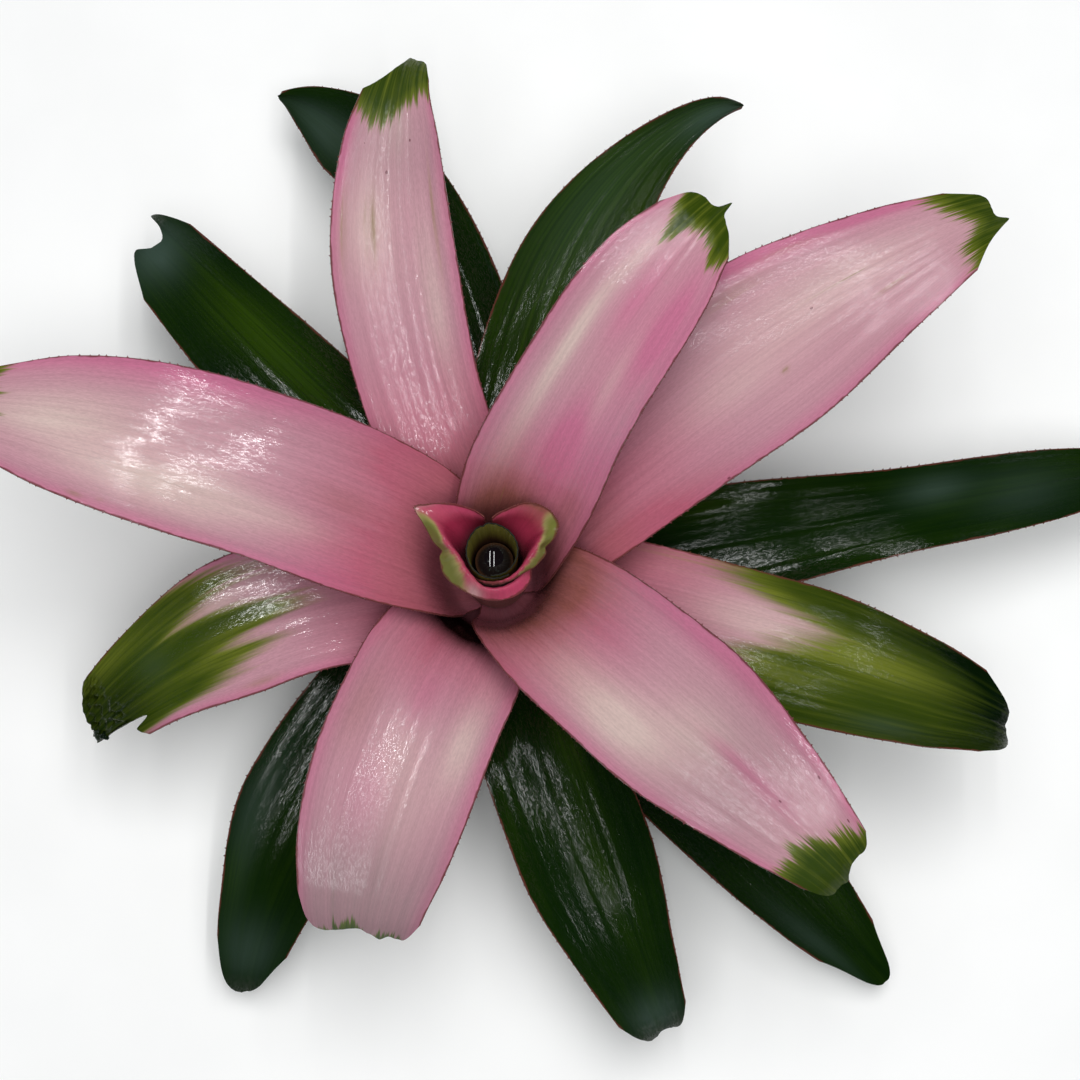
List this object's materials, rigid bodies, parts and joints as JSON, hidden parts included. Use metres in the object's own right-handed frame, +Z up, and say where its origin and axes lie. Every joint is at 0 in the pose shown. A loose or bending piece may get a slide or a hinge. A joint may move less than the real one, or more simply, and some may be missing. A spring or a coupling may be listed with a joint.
{
  "type": "neoregelia bromeliad plant",
  "caption": "Flat bromeliad rosette as picked: arching toothed strap leaves, pink inside and dark green outside, round short bracts and a tube of water, on a cut stem.",
  "frame": {"origin": "on the cut face of the stem, under the middle of the rosette", "axes": "+Z up along the stem, +X to the side of the longest leaf, +Y towards the top of the plant as it is seen from above"},
  "size_m": [0.4256, 0.3509, 0.1314],
  "materials": {
    "stem": "matte",
    "tube_leaf": "gloss",
    "bract": "gloss",
    "water": "gloss",
    "pink_leaf": "satin",
    "green_leaf": "gloss"
  },
  "bodies": {
    "root": {"stem": "stem", "tube_leaf": "tube_leaf", "inner_bract": "bract", "outer_bract": "bract", "water": "water", "pink_leaf_1": "pink_leaf", "pink_leaf_2": "pink_leaf", "pink_leaf_3": "pink_leaf", "pink_leaf_4": "pink_leaf", "pink_leaf_5": "pink_leaf", "pink_leaf_6": "pink_leaf", "pink_leaf_7": "pink_leaf", "pink_leaf_8": "pink_leaf", "green_leaf_1": "green_leaf", "green_leaf_2": "green_leaf", "green_leaf_3": "green_leaf", "green_leaf_4": "green_leaf", "green_leaf_5": "green_leaf", "green_leaf_6": "green_leaf", "green_leaf_7": "green_leaf"}
  },
  "joints": []
}
